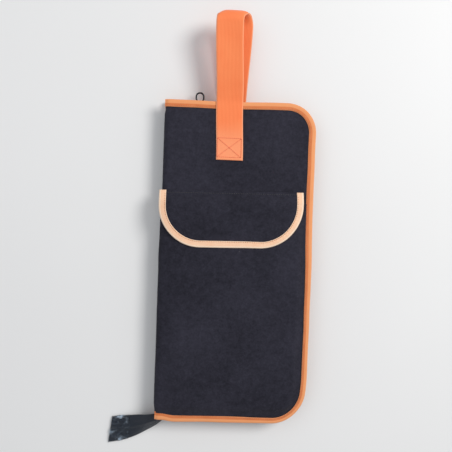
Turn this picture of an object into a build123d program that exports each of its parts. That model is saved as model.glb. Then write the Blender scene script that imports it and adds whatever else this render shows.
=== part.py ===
"""Drum stick bag lying closed on its back cover: width along X, length along Y, height along Z, in mm.

The spine is at -X, the zip runs round the other three edges and the handle is at +Y.
Each function makes one sub-part, and the last block writes one STEP file for each.
"""
import os
from build123d import *

# Overall size
bag_width = 215.0
bag_length = 460.0
bag_thickness = 30.0
top_corner_radius = 42.0
bottom_corner_radius = 46.0

# Covers: fabric, foam, lining and the folded binding on three edges
cover_thickness = 5.5
fabric_thickness = 0.8
binding_thickness = 0.7
binding_width = 10.0
seam_gap = 0.2
fold_gap = 0.4

# Handle webbing
webbing_width = 38.0
webbing_thickness = 1.2
handle_from_spine = 92.5
handle_tab_length = 82.0
handle_reach = 121.0
handle_rise_angle = 12.0
handle_bend_start = 2.0
recess_clearance = 0.3
thread_width = 1.0
thread_height = 0.3
stitch_margin = 4.0
stitch_box_length = 27.0

# Zipper
tape_thickness = 0.6
chain_thickness = 2.6
chain_height = 2.4
chain_parting = 1.6
stop_length = 3.0
tail_exit = 15.5
slider_length = 16.0
slider_width = 12.0
slider_wall = 1.3
slider_clearance = 0.4
slider_from_spine = 49.0
web_length = 3.0
bridge_length = 6.8
bridge_width = 5.0
bridge_bar = 1.0
bridge_gap = 2.4
link_wire = 1.2
link_length = 6.8
link_width = 8.2
loop_wire = 1.4
loop_length = 14.0
loop_width = 11.6
pull_play = 0.2

# Loose end of the zip
tail_width = 33.0
tail_thickness = 1.2
film_length = 24.0
film_thickness = 0.4
tail_lift = 0.4

# Outer pocket and its flap
pocket_mouth_from_bottom = 320.0
pocket_hollow = 4.6
pocket_from_edge = 3.0
gusset_gap = 0.2
hem_width = 12.0
hem_thickness = 0.6
flap_seam_from_bottom = 332.5
flap_length = 80.5
flap_overhang = 4.0
flap_zip_side_gap = 13.0
flap_thickness = 1.2
flap_corner_radius = 50.0
flap_run_up = 8.0
flap_clearance = 0.4
flap_binding_thickness = 0.5
patch_length = 50.0
patch_width = 20.0
patch_thickness = 0.8
patch_from_flap_edge = 16.0
patch_clearance = 0.3

# Stick pockets inside
stick_channel_count = 4
stick_pocket_height = 8.4
wide_channel_count = 2
wide_pocket_height = 5.2
channel_seam = 2.0
channel_slope = 5.0
pocket_from_spine = 10.5
pocket_from_zip_side = 18.5
pocket_bottom = 34.0
stick_pocket_length = 306.0
mouth_binding_width = 10.0
mouth_binding_thickness = 0.5

# Places worked out from the sizes above
left_edge = -bag_width / 2
right_edge = bag_width / 2
top_edge = bag_length / 2
bottom_edge = -bag_length / 2
mid_height = bag_thickness / 2
border_inset = binding_width + seam_gap
shell_step = border_inset + fabric_thickness
border_shell_top = binding_thickness + fabric_thickness
inner_leg_level = cover_thickness - binding_thickness
flange_level = inner_leg_level - tape_thickness
border_lining_level = flange_level - fabric_thickness
lining_level = cover_thickness - fabric_thickness
tape_inner_inset = binding_width + tape_thickness
lining_step = tape_inner_inset + seam_gap
lining_core = lining_step + fabric_thickness
spine_low = cover_thickness + fold_gap
spine_high = bag_thickness - spine_low
spine_top = top_edge - tape_inner_inset - 0.1
spine_bottom = bottom_edge + tape_inner_inset + 1.1
chain_outer_inset = binding_width + tape_thickness / 2 - chain_thickness / 2
chain_inner_inset = chain_outer_inset + chain_thickness
chain_top = mid_height - chain_parting / 2
chain_bottom = chain_top - chain_height
tape_left = left_edge + cover_thickness + 0.6
chain_left = tape_left + 1.2 + stop_length
tail_start = left_edge + tail_exit
handle_x = left_edge + handle_from_spine
tab_end = top_edge - handle_tab_length
recess_depth = webbing_thickness + thread_height
slider_x = left_edge + slider_from_spine
chain_y = top_edge - (chain_outer_inset + chain_inner_inset) / 2
plate_gap = chain_thickness / 2 + slider_clearance
outer_plate_y = chain_y + plate_gap
link_pivot_y = outer_plate_y + slider_wall + link_wire / 2 + 0.9
loop_pivot_y = link_pivot_y + link_length
pocket_mouth = bottom_edge + pocket_mouth_from_bottom
pocket_top = bag_thickness + pocket_hollow + fabric_thickness
flap_seam = bottom_edge + flap_seam_from_bottom
flap_edge = flap_seam - flap_length
flap_left = left_edge - flap_overhang
flap_right = right_edge - flap_zip_side_gap
flap_middle = (flap_left + flap_right) / 2
flap_root_level = bag_thickness + flap_clearance
flap_level = pocket_top + 2 * patch_thickness + patch_clearance - 0.1
patch_y = flap_edge + patch_from_flap_edge + patch_width / 2
pocket_left = left_edge + pocket_from_spine
pocket_right = right_edge - pocket_from_zip_side
pocket_inset = border_inset + pocket_from_edge
channel_pitch = (pocket_right - pocket_left + channel_seam) / stick_channel_count
wide_pitch = (pocket_right - pocket_left + channel_seam) / wide_channel_count
pocket_bottom_y = bottom_edge + pocket_bottom
stick_mouth_y = pocket_bottom_y + stick_pocket_length
wide_panel_level = bag_thickness - cover_thickness - wide_pocket_height


def level(side, depth):
    """Height of a level that lies depth inward from a cover's outer face."""
    return depth if side == "back" else bag_thickness - depth


def inward(side, depth):
    """Extrusion depth towards the bag's inside, signed for the cover's side."""
    return depth if side == "back" else -depth


def cover_outline(inset, left=left_edge):
    """Outline of a cover, drawn in by inset on its three bound edges."""
    right = right_edge - inset
    end = top_edge - inset
    with BuildSketch() as outline:
        with Locations(((left + right) / 2, 0)):
            Rectangle(right - left, 2 * end)
        fillet(outline.vertices().group_by(Axis.X)[-1].sort_by(Axis.Y)[0], bottom_corner_radius - inset)
        fillet(outline.vertices().group_by(Axis.X)[-1].sort_by(Axis.Y)[-1], top_corner_radius - inset)
    return outline.sketch


def edge_band(outer, inner, left=left_edge):
    """Band that follows the three bound edges between two insets."""
    with BuildSketch() as band:
        add(cover_outline(outer, left))
        add(cover_outline(inner, left - 1), mode=Mode.SUBTRACT)
    return band.sketch


def rectangle_between(x_low, x_high, y_low, y_high):
    """Plain rectangle given by its sides."""
    with BuildSketch() as area:
        with Locations(((x_low + x_high) / 2, (y_low + y_high) / 2)):
            Rectangle(x_high - x_low, y_high - y_low)
    return area.sketch


def tab_zone(grow, cover_area):
    """Area of the back tab's recess, grown on three sides, inside an area of the cover."""
    half_width = webbing_width / 2 + recess_clearance + grow
    with BuildSketch() as zone:
        add(rectangle_between(handle_x - half_width, handle_x + half_width,
                              tab_end - recess_clearance - grow, top_edge + 1))
        add(cover_area, mode=Mode.INTERSECT)
    return zone.sketch


def make_shell(side):
    """Outer fabric of a cover, pressed in by the binding's thickness along the bound edges."""
    with BuildPart() as shell:
        with BuildSketch(Plane.XY.offset(level(side, 0))):
            add(cover_outline(border_inset))
        extrude(amount=inward(side, fabric_thickness))
        with BuildSketch(Plane.XY.offset(level(side, binding_thickness))):
            add(edge_band(binding_thickness, shell_step))
        extrude(amount=inward(side, fabric_thickness))
        with BuildSketch(Plane.XY.offset(level(side, binding_thickness))):
            add(rectangle_between(left_edge, left_edge + fabric_thickness,
                                  bottom_edge + binding_thickness, top_edge - binding_thickness))
        extrude(amount=inward(side, flange_level - binding_thickness))
        with BuildSketch(Plane.XY.offset(level(side, 0))):
            add(rectangle_between(left_edge, left_edge + fabric_thickness,
                                  bottom_edge + border_inset, top_edge - border_inset))
        extrude(amount=inward(side, cover_thickness))
        if side == "back":
            with BuildSketch():
                add(tab_zone(fabric_thickness, cover_outline(border_inset)))
            extrude(amount=recess_depth + fabric_thickness)
            with BuildSketch(Plane.XY.offset(binding_thickness)):
                add(tab_zone(border_shell_top, edge_band(binding_thickness, shell_step)))
            extrude(amount=recess_depth + fabric_thickness)
            with BuildSketch():
                add(tab_zone(binding_thickness, edge_band(0, border_inset)))
            extrude(amount=recess_depth + binding_thickness, mode=Mode.SUBTRACT)
            with BuildSketch():
                add(tab_zone(0, cover_outline(0)))
            extrude(amount=recess_depth, mode=Mode.SUBTRACT)
    return shell.part


def make_foam(side):
    """Foam sheet between a cover's shell and lining."""
    foam_left = left_edge + fabric_thickness
    with BuildPart() as foam:
        with BuildSketch(Plane.XY.offset(level(side, fabric_thickness))):
            add(cover_outline(lining_core, foam_left))
        extrude(amount=inward(side, lining_level - fabric_thickness))
        with BuildSketch(Plane.XY.offset(level(side, border_shell_top))):
            add(edge_band(binding_thickness, lining_core, foam_left))
        extrude(amount=inward(side, border_lining_level - border_shell_top))
        if side == "back":
            with BuildSketch():
                add(tab_zone(fabric_thickness, cover_outline(0)))
            extrude(amount=recess_depth + fabric_thickness, mode=Mode.SUBTRACT)
            with BuildSketch():
                add(tab_zone(border_shell_top, edge_band(0, lining_core)))
            extrude(amount=recess_depth + border_shell_top, mode=Mode.SUBTRACT)
    return foam.part


def make_lining(side):
    """Lining of a cover, stepped down under the tape's flange along the bound edges."""
    lining_left = left_edge + fabric_thickness
    with BuildPart() as lining:
        with BuildSketch(Plane.XY.offset(level(side, lining_level))):
            add(cover_outline(lining_step, lining_left))
        extrude(amount=inward(side, fabric_thickness))
        with BuildSketch(Plane.XY.offset(level(side, border_lining_level))):
            add(edge_band(lining_step, lining_core, lining_left))
        extrude(amount=inward(side, cover_thickness - border_lining_level))
        with BuildSketch(Plane.XY.offset(level(side, border_lining_level))):
            add(edge_band(binding_thickness, lining_core, lining_left))
        extrude(amount=inward(side, fabric_thickness))
    return lining.part


def make_binding(side):
    """Binding tape folded over a cover's three edges."""
    with BuildPart() as binding:
        with BuildSketch(Plane.XY.offset(level(side, 0))):
            add(edge_band(0, binding_width))
        extrude(amount=inward(side, binding_thickness))
        with BuildSketch(Plane.XY.offset(level(side, 0))):
            add(edge_band(0, binding_thickness))
        extrude(amount=inward(side, cover_thickness))
        with BuildSketch(Plane.XY.offset(level(side, inner_leg_level))):
            add(edge_band(0, binding_width))
        extrude(amount=inward(side, binding_thickness))
        if side == "back":
            with BuildSketch():
                add(tab_zone(binding_thickness, edge_band(0, binding_width)))
            extrude(amount=recess_depth + binding_thickness)
            with BuildSketch():
                add(tab_zone(0, cover_outline(0)))
            extrude(amount=recess_depth, mode=Mode.SUBTRACT)
    return binding.part


def make_spine_layer(outer, inner):
    """One layer of the spine strip between two depths from its outer face."""
    with BuildPart() as layer:
        with BuildSketch(Plane.XY.offset(spine_low)):
            add(rectangle_between(left_edge + outer, left_edge + inner, spine_bottom, spine_top))
        extrude(amount=spine_high - spine_low)
    return layer.part


def make_tape(side):
    """Half of the zip's tape: a flange sewn under the binding and the wall that carries the chain."""
    with BuildPart() as tape:
        with BuildSketch(Plane.XY.offset(level(side, flange_level))):
            add(edge_band(binding_thickness, tape_inner_inset, left_edge + fabric_thickness))
        extrude(amount=inward(side, tape_thickness))
        with BuildSketch(Plane.XY.offset(level(side, flange_level))):
            add(edge_band(binding_width, tape_inner_inset, tape_left))
            add(rectangle_between(tape_left - 1, tail_start, bottom_edge, 0), mode=Mode.SUBTRACT)
        extrude(amount=inward(side, chain_bottom - flange_level))
    return tape.part


def make_chain(side):
    """Half of the zip's coil, as a plain strip round the three edges."""
    with BuildPart() as chain:
        with BuildSketch(Plane.XY.offset(level(side, chain_bottom))):
            add(edge_band(chain_outer_inset, chain_inner_inset, chain_left))
            add(rectangle_between(chain_left - 1, tail_start, bottom_edge, 0), mode=Mode.SUBTRACT)
        extrude(amount=inward(side, chain_height))
    return chain.part


def make_top_stop(side):
    """Clip that closes the end of one coil next to the spine."""
    with BuildPart() as stop:
        with BuildSketch(Plane.XY.offset(level(side, chain_bottom))):
            add(rectangle_between(chain_left - stop_length, chain_left,
                                  top_edge - chain_inner_inset, top_edge - chain_outer_inset))
        extrude(amount=inward(side, chain_height))
    return stop.part


def make_slider():
    """Slider: two plates joined by a web between the coils, with lips on the back side and a bridge."""
    inner_plate_y = chain_y - plate_gap
    lip_level = chain_bottom - slider_clearance - 1.8
    lip_depth = plate_gap - tape_thickness / 2 - slider_clearance
    with BuildPart() as slider:
        with BuildSketch(Plane.XZ.offset(-outer_plate_y)):
            with Locations((slider_x, mid_height)):
                RectangleRounded(slider_length, slider_width, 2.5)
        extrude(amount=-slider_wall)
        with BuildSketch(Plane.XZ.offset(-inner_plate_y)):
            with Locations((slider_x, mid_height)):
                RectangleRounded(slider_length, slider_width, 2.5)
        extrude(amount=slider_wall)
        with BuildSketch(Plane.XZ.offset(-inner_plate_y)):
            with Locations((slider_x, mid_height)):
                Rectangle(web_length, chain_parting - 0.6)
        extrude(amount=-2 * plate_gap)
        for plate_y, direction in ((outer_plate_y, 1), (inner_plate_y, -1)):
            with BuildSketch(Plane.XZ.offset(-plate_y)):
                with Locations((slider_x, lip_level + 0.9)):
                    Rectangle(slider_length - 5, 1.8)
            extrude(amount=direction * lip_depth)
        bridge_root = outer_plate_y + slider_wall
        bridge_height = link_pivot_y + link_wire / 2 + pull_play + bridge_bar - bridge_root
        with BuildSketch(Plane.XY.offset(mid_height - bridge_width / 2)):
            with Locations((slider_x, bridge_root + bridge_height / 2)):
                Rectangle(bridge_length, bridge_height)
            with Locations((slider_x, bridge_root + (bridge_height - bridge_bar) / 2)):
                Rectangle(bridge_gap, bridge_height - bridge_bar, mode=Mode.SUBTRACT)
        extrude(amount=bridge_width)
    return slider.part


def make_wire_ring(plane, length, width, wire, corner):
    """Closed wire ring, a rounded rectangle of centre-line length and width drawn on a plane."""
    with BuildPart() as ring:
        with BuildSketch(plane):
            RectangleRounded(length + wire, width + wire, corner + wire / 2)
            RectangleRounded(length - wire, width - wire, corner - wire / 2, mode=Mode.SUBTRACT)
        extrude(amount=wire / 2, both=True)
        fillet(ring.edges(), wire * 0.3)
    return ring.part


def make_pull_link():
    """Small ring through the slider's bridge, standing across the zip."""
    middle = (slider_x, link_pivot_y + link_length / 2, mid_height)
    plane = Plane(origin=middle, x_dir=(0, 1, 0), z_dir=(1, 0, 0))
    return make_wire_ring(plane, link_length, link_width, link_wire, 1.5)


def make_pull_loop():
    """Wire loop through the link, lying flat in the zip's gap."""
    near_end = loop_pivot_y - link_wire / 2 - loop_wire / 2 - pull_play
    plane = Plane(origin=(slider_x, near_end + loop_length / 2, mid_height), x_dir=(0, 1, 0), z_dir=(0, 0, 1))
    return make_wire_ring(plane, loop_length, loop_width, loop_wire, 4.5)


def tail_section(x, y, z, width, turn, tilt):
    """Cross-section of the loose tape: turn swings it in plan and tilt lays it down from upright."""
    frame = Location((x, y, z), (0, 0, turn)) * Location((0, 0, 0), (tilt, 0, 0))
    plane = Plane(origin=frame.position, x_dir=(frame * Location((0, 1, 0))).position - frame.position,
                  z_dir=(frame * Location((-1, 0, 0))).position - frame.position)
    with BuildSketch(plane) as section:
        Rectangle(tail_thickness, width)
    return section.sketch


def make_tail():
    """Loose end of the zip, twisting out of the lower corner until it lies flat."""
    upright_width = bag_thickness - 2 * cover_thickness - 1.0
    tape_y = bottom_edge + binding_width + tape_thickness / 2
    flat_level = tail_lift + tail_thickness / 2
    with BuildPart() as tail:
        loft([tail_section(tail_start - 0.4, tape_y, mid_height, upright_width, 0, 0),
              tail_section(left_edge - 1, tape_y - 3, mid_height, upright_width, 20, 4),
              tail_section(left_edge - 22, tape_y - 15, 9.6, 0.5 * (upright_width + tail_width), 24, 52),
              tail_section(left_edge - 40, tape_y - 23.5, flat_level, tail_width, 20, 90)], ruled=True)
        loft([tail_section(left_edge - 40, tape_y - 23.5, flat_level, tail_width, 20, 90),
              tail_section(left_edge - 66, tape_y - 33, flat_level, tail_width, 20, 90)], ruled=True)
    return tail.part


def make_end_film():
    """Clear film sleeve over the tail's flat end."""
    tape_y = bottom_edge + binding_width + tape_thickness / 2
    end = Location((left_edge - 66, tape_y - 33, tail_lift + tail_thickness / 2), (0, 0, 20))
    with BuildPart() as film:
        with Locations(end * Location((film_length / 2, 0, 0))):
            Box(film_length, tail_width + 2 * film_thickness, tail_thickness + 2 * film_thickness)
        with Locations(end * Location((film_length / 2, 0, 0))):
            Box(film_length + 2, tail_width + 0.1, tail_thickness + 0.1, mode=Mode.SUBTRACT)
    return film.part


def make_handle():
    """Webbing strap: flat on the front cover, out in a loop and back into the back cover's recess."""
    front_level = bag_thickness + webbing_thickness / 2
    back_level = recess_depth - webbing_thickness / 2
    rise = Vector(1, 0).rotate(Axis.Z, handle_rise_angle)
    front_bend = Vector(top_edge + handle_bend_start, front_level)
    back_bend = Vector(top_edge + handle_bend_start, back_level)
    spacing = (front_level - back_level) * rise.X
    front_tip = front_bend + rise * ((handle_reach - handle_bend_start) / rise.X)
    back_tip = front_tip + Vector(rise.Y, -rise.X) * spacing
    with BuildPart() as handle:
        with BuildSketch(Plane.YZ.offset(handle_x - webbing_width / 2)):
            with BuildLine():
                FilletPolyline((tab_end, front_level), front_bend, front_tip, back_tip, back_bend,
                               (tab_end, back_level), radius=spacing / 2 - 0.1)
            trace(line_width=webbing_thickness)
        extrude(amount=webbing_width)
    return handle.part


def make_tab_stitching(base):
    """Box-and-cross stitching on a tab, as raised thread from a base level upward."""
    box_width = webbing_width - 2 * stitch_margin
    middle_y = tab_end + stitch_margin + stitch_box_length / 2
    corner = Vector(box_width / 2 - thread_width / 2, stitch_box_length / 2 - thread_width / 2)
    with BuildPart() as stitching:
        with BuildSketch(Plane.XY.offset(base)):
            with Locations((handle_x, middle_y)):
                Rectangle(box_width, stitch_box_length)
                Rectangle(box_width - 2 * thread_width, stitch_box_length - 2 * thread_width, mode=Mode.SUBTRACT)
            with Locations((handle_x, middle_y)):
                with BuildLine():
                    Line((handle_x - corner.X, middle_y - corner.Y), (handle_x + corner.X, middle_y + corner.Y))
                trace(line_width=thread_width)
                with BuildLine():
                    Line((handle_x - corner.X, middle_y + corner.Y), (handle_x + corner.X, middle_y - corner.Y))
                trace(line_width=thread_width)
        extrude(amount=thread_height)
    return stitching.part


def make_pocket_panel():
    """Front panel of the outer pocket, held off the cover by its gusset."""
    with BuildPart() as panel:
        with BuildSketch(Plane.XY.offset(bag_thickness + pocket_hollow)):
            add(cover_outline(pocket_inset, left_edge + pocket_from_edge))
            add(rectangle_between(left_edge, right_edge, pocket_mouth, top_edge), mode=Mode.SUBTRACT)
        extrude(amount=fabric_thickness)
    return panel.part


def make_pocket_gusset():
    """Gusset of the outer pocket: walls on three sides, parted by small gaps at and round the corner."""
    corner_radius = bottom_corner_radius - pocket_inset
    corner = (right_edge - bottom_corner_radius, bottom_edge + bottom_corner_radius)
    wall_left = left_edge + pocket_from_edge
    with BuildPart() as gusset:
        with BuildSketch(Plane.XY.offset(bag_thickness)):
            add(edge_band(pocket_inset, pocket_inset + fabric_thickness, wall_left))
            add(rectangle_between(wall_left, wall_left + fabric_thickness,
                                  bottom_edge + pocket_inset + fabric_thickness + gusset_gap, pocket_mouth))
            add(rectangle_between(left_edge, right_edge, pocket_mouth, top_edge), mode=Mode.SUBTRACT)
            for angle in (-90, -60, -30, 0):
                with Locations(Location(corner, angle) * Location((corner_radius, 0))):
                    Rectangle(4 * fabric_thickness, gusset_gap, mode=Mode.SUBTRACT)
        extrude(amount=pocket_hollow)
    return gusset.part


def make_pocket_hem():
    """Folded hem along the pocket's mouth."""
    with BuildPart() as hem:
        with BuildSketch(Plane.XY.offset(pocket_top)):
            add(rectangle_between(left_edge + pocket_from_edge + 1, right_edge - pocket_inset - 1,
                                  pocket_mouth - hem_width, pocket_mouth))
        extrude(amount=hem_thickness)
    return hem.part


def flap_outline(inset, seam=flap_seam):
    """Outline of the flap, drawn in by inset on its three free edges."""
    with BuildSketch() as outline:
        add(rectangle_between(flap_left + inset, flap_right - inset, flap_edge + inset, seam))
        fillet(outline.vertices().group_by(Axis.Y)[0], flap_corner_radius - inset)
    return outline.sketch


def flap_slab(low, high, outline):
    """Slab between two offsets from the flap's underside, following its run up from the seam."""
    with BuildPart() as slab:
        with BuildSketch(Plane.YZ.offset(flap_left - 1)):
            Polygon((flap_seam, flap_root_level + low), (flap_seam, flap_root_level + high),
                    (flap_seam - flap_run_up, flap_level + high), (flap_edge - 2, flap_level + high),
                    (flap_edge - 2, flap_level + low), (flap_seam - flap_run_up, flap_level + low), align=None)
        extrude(amount=flap_right - flap_left + 2)
        with BuildSketch(Plane.XY.offset(bag_thickness - 1)):
            add(outline)
        extrude(amount=2 * bag_thickness, mode=Mode.INTERSECT)
    return slab.part


def make_flap():
    """Flap of the outer pocket, without its binding."""
    return flap_slab(0, flap_thickness, flap_outline(flap_binding_thickness))


def make_flap_binding():
    """Binding folded over the flap's three free edges."""
    wrap = flap_binding_thickness
    root = flap_seam - flap_run_up
    with BuildSketch() as border:
        add(flap_outline(0, root))
        add(flap_outline(binding_width, root + 1), mode=Mode.SUBTRACT)
    with BuildPart() as binding:
        add(flap_slab(-wrap, flap_thickness + wrap, border.sketch))
        add(flap_slab(0, flap_thickness, flap_outline(wrap)), mode=Mode.SUBTRACT)
    return binding.part


def make_patch(base):
    """Hook or loop patch, from a base level upward."""
    with BuildPart() as patch:
        with BuildSketch(Plane.XY.offset(base)):
            add(rectangle_between(flap_middle - patch_length / 2, flap_middle + patch_length / 2,
                                  patch_y - patch_width / 2, patch_y + patch_width / 2))
        extrude(amount=patch_thickness)
    return patch.part


def channel_profile(height, grow):
    """Cross-section of the row of stick channels standing on the back lining, grown outward by grow."""
    crown = cover_thickness + height + grow
    with BuildSketch() as profile:
        for index in range(stick_channel_count):
            left = pocket_left + index * channel_pitch - grow
            right = left + channel_pitch - channel_seam + 2 * grow
            Polygon((left, cover_thickness), (left + channel_slope, crown), (right - channel_slope, crown),
                    (right, cover_thickness), align=None)
    return profile.sketch


def seam_profile(thickness):
    """Cross-section of the sewn-down strips between the stick channels."""
    return rectangle_between(pocket_left + channel_slope, pocket_right - channel_slope,
                             cover_thickness, cover_thickness + thickness)


def make_stick_pocket():
    """Row of sewn stick channels on the back cover, open towards the handle and closed at the lower end."""
    with BuildPart() as pocket:
        with BuildSketch(Plane.XZ.offset(-pocket_bottom_y)):
            add(channel_profile(stick_pocket_height, 0))
            add(seam_profile(fabric_thickness))
        extrude(amount=-stick_pocket_length)
        with BuildSketch(Plane.XZ.offset(-pocket_bottom_y - fabric_thickness)):
            add(channel_profile(stick_pocket_height, -fabric_thickness))
        extrude(amount=-stick_pocket_length, mode=Mode.SUBTRACT)
    return pocket.part


def make_stick_pocket_binding():
    """Binding over the outside of the stick channels at their mouths."""
    with BuildPart() as binding:
        with BuildSketch(Plane.XZ.offset(mouth_binding_width - stick_mouth_y)):
            add(channel_profile(stick_pocket_height, mouth_binding_thickness))
            add(seam_profile(fabric_thickness + mouth_binding_thickness))
            add(channel_profile(stick_pocket_height, 0), mode=Mode.SUBTRACT)
            add(seam_profile(fabric_thickness), mode=Mode.SUBTRACT)
        extrude(amount=-mouth_binding_width)
    return binding.part


def make_wide_pocket_panel():
    """Flat panel of the wide pockets inside the front cover."""
    with BuildPart() as panel:
        with BuildSketch(Plane.XY.offset(wide_panel_level)):
            add(rectangle_between(pocket_left, pocket_right, pocket_bottom_y, stick_mouth_y))
        extrude(amount=fabric_thickness)
    return panel.part


def make_wide_pocket_walls():
    """Folds that join the wide pockets' panel to the lining: one at each side, between and along the lower end."""
    with BuildPart() as walls:
        with BuildSketch(Plane.XY.offset(wide_panel_level + fabric_thickness)):
            for index in range(wide_channel_count + 1):
                left = pocket_left + index * (wide_pitch - channel_seam / wide_channel_count)
                add(rectangle_between(left - fabric_thickness * (index > 0), left + fabric_thickness * (index == 0),
                                      pocket_bottom_y + fabric_thickness + gusset_gap, stick_mouth_y))
            add(rectangle_between(pocket_left, pocket_right, pocket_bottom_y,
                                  pocket_bottom_y + fabric_thickness))
        extrude(amount=wide_pocket_height - fabric_thickness)
    return walls.part


def make_wide_pocket_binding():
    """Binding along the wide pockets' mouth."""
    with BuildPart() as binding:
        with BuildSketch(Plane.XY.offset(wide_panel_level)):
            add(rectangle_between(pocket_left, pocket_right, stick_mouth_y - mouth_binding_width, stick_mouth_y))
        extrude(amount=-mouth_binding_thickness)
    return binding.part


sub_parts = {
    "spine_shell": make_spine_layer(0, fabric_thickness),
    "spine_foam": make_spine_layer(fabric_thickness, lining_level),
    "spine_lining": make_spine_layer(lining_level, cover_thickness),
    "zipper_slider": make_slider(),
    "pull_link": make_pull_link(),
    "pull_loop": make_pull_loop(),
    "zipper_tail": make_tail(),
    "zipper_end_film": make_end_film(),
    "handle_webbing": make_handle(),
    "front_handle_stitching": make_tab_stitching(bag_thickness + webbing_thickness),
    "back_handle_stitching": make_tab_stitching(0),
    "outer_pocket_panel": make_pocket_panel(),
    "outer_pocket_gusset": make_pocket_gusset(),
    "pocket_mouth_hem": make_pocket_hem(),
    "pocket_flap": make_flap(),
    "flap_binding": make_flap_binding(),
    "flap_hook_patch": make_patch(flap_level - patch_thickness),
    "pocket_loop_patch": make_patch(pocket_top),
    "stick_pocket": make_stick_pocket(),
    "stick_pocket_binding": make_stick_pocket_binding(),
    "wide_pocket_panel": make_wide_pocket_panel(),
    "wide_pocket_walls": make_wide_pocket_walls(),
    "wide_pocket_binding": make_wide_pocket_binding(),
}
for side in ("back", "front"):
    sub_parts[f"{side}_shell"] = make_shell(side)
    sub_parts[f"{side}_foam"] = make_foam(side)
    sub_parts[f"{side}_lining"] = make_lining(side)
    sub_parts[f"{side}_binding"] = make_binding(side)
    sub_parts[f"{side}_zipper_tape"] = make_tape(side)
    sub_parts[f"{side}_zipper_coil"] = make_chain(side)
    sub_parts[f"{side}_zipper_stop"] = make_top_stop(side)

os.makedirs("parts", exist_ok=True)
for name, part in sub_parts.items():
    part.label = name
    export_step(part, f"parts/{name}.step")
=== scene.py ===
"""Drum stick bag: its cloth, tapes, zip, stitches and finishes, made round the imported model."""
import cmath
import math

import bmesh
import bpy
from mathutils import Matrix, Vector, noise


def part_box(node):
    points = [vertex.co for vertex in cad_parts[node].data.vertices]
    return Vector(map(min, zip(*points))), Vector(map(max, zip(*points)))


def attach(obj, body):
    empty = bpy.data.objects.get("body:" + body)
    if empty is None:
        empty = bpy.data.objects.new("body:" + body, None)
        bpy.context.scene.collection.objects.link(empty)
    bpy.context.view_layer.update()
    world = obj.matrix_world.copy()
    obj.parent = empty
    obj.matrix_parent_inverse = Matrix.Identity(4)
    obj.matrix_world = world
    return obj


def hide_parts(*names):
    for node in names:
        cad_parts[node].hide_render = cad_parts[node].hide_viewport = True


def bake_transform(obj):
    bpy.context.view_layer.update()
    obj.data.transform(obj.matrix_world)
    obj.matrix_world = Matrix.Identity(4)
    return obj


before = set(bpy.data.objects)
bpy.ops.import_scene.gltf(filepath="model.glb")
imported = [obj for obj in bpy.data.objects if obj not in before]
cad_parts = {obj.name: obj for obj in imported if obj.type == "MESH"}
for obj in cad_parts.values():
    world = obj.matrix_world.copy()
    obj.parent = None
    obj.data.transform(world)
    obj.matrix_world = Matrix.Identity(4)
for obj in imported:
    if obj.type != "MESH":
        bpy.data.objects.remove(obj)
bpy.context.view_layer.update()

# Places read from the frame, in metres
back_low, back_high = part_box("back_binding")
LEFT, RIGHT = back_low[0], back_high[0]
BOTTOM, TOP = back_low[1], back_high[1]
COVER = back_high[2] - back_low[2]
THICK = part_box("front_binding")[1][2]
MIDDLE = THICK / 2
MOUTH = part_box("outer_pocket_panel")[1][1]
flap_low, flap_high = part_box("pocket_flap")
FLAP_LEFT, FLAP_RIGHT = flap_low[0], flap_high[0]
FLAP_ROOT, FLAP_END = flap_high[1], flap_low[1]
strap_low, strap_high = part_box("handle_webbing")
sticks_low, sticks_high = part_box("stick_pocket")
wide_low, wide_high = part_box("wide_pocket_walls")[0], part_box("wide_pocket_panel")[1]
pull_low, pull_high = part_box("pull_loop")

# Corner radii of the covers and the flap, and the radius of the fold at the spine
TOP_RADIUS = 0.042
BOTTOM_RADIUS = 0.046
FLAP_RADIUS = 0.060
FOLD_RADIUS = 0.0075

# Tapes: the width that shows on a face, and the cloth's whole width before it is folded
BINDING = 0.010
BINDING_CLOTH = 0.0255
FLAP_BINDING = 0.0095
FLAP_BINDING_CLOTH = 0.0215
MOUTH_TAPE = 0.010

# A cover's board, which leaves room for the tape on both faces
CORE = COVER - 0.0016

# Zip: its line in from the covers' edges, the half sizes of one coil turn, and the pull's wire radius
CHAIN_INSET = 0.0103
COIL_PITCH = 0.0016
COIL_TURN = (0.00055, 0.0013, 0.0012)
PULL_WIRE = 0.0012

# Outer pocket and flap: heights of the flap's cloth at its seam and over the pocket
POCKET_INSET = 0.0098
POCKET_RISE = 0.0050
FLAP_SEWN = 0.0310
FLAP_TOP = 0.0379

# Strap, and where its end lies on the back cover
STRAP_WIDTH = 0.038
STRAP_THICK = 0.0012
STRAP_LEFT, STRAP_RIGHT = -0.0345, 0.0045
TAB_END = strap_low[1] - 0.0005

# Stitches, and the distance within which loose edges of a tube are joined
STITCH_LONG = 0.0024
STITCH_PITCH = 0.0032
BOX_PITCH = 0.0027
MERGE = 0.00001

UP = Vector((0.0, 0.0, 1.0))
DOWN = Vector((0.0, 0.0, -1.0))


# ---------------------------------------------------------------- materials

class Value:
    """A number that varies over a surface; arithmetic on it adds Math nodes."""

    def __init__(self, finish, socket):
        self.finish = finish
        self.socket = socket

    def math(self, operation, *values):
        return self.finish.node("ShaderNodeMath", {"operation": operation}, *values)

    def __add__(self, other):
        return self.math("ADD", self, other)

    def __sub__(self, other):
        return self.math("SUBTRACT", self, other)

    def __rsub__(self, other):
        return self.math("SUBTRACT", other, self)

    def __mul__(self, other):
        return self.math("MULTIPLY", self, other)

    __radd__ = __add__
    __rmul__ = __mul__

    def sine(self):
        return self.math("SINE", self)

    def size(self):
        return self.math("ABSOLUTE", self)

    def band(self, low, high):
        """0 below low, 1 above high, smooth between them."""
        settings = {"interpolation_type": "SMOOTHSTEP"}
        return self.finish.node("ShaderNodeMapRange", settings, self, low, high, 0.0, 1.0)


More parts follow.
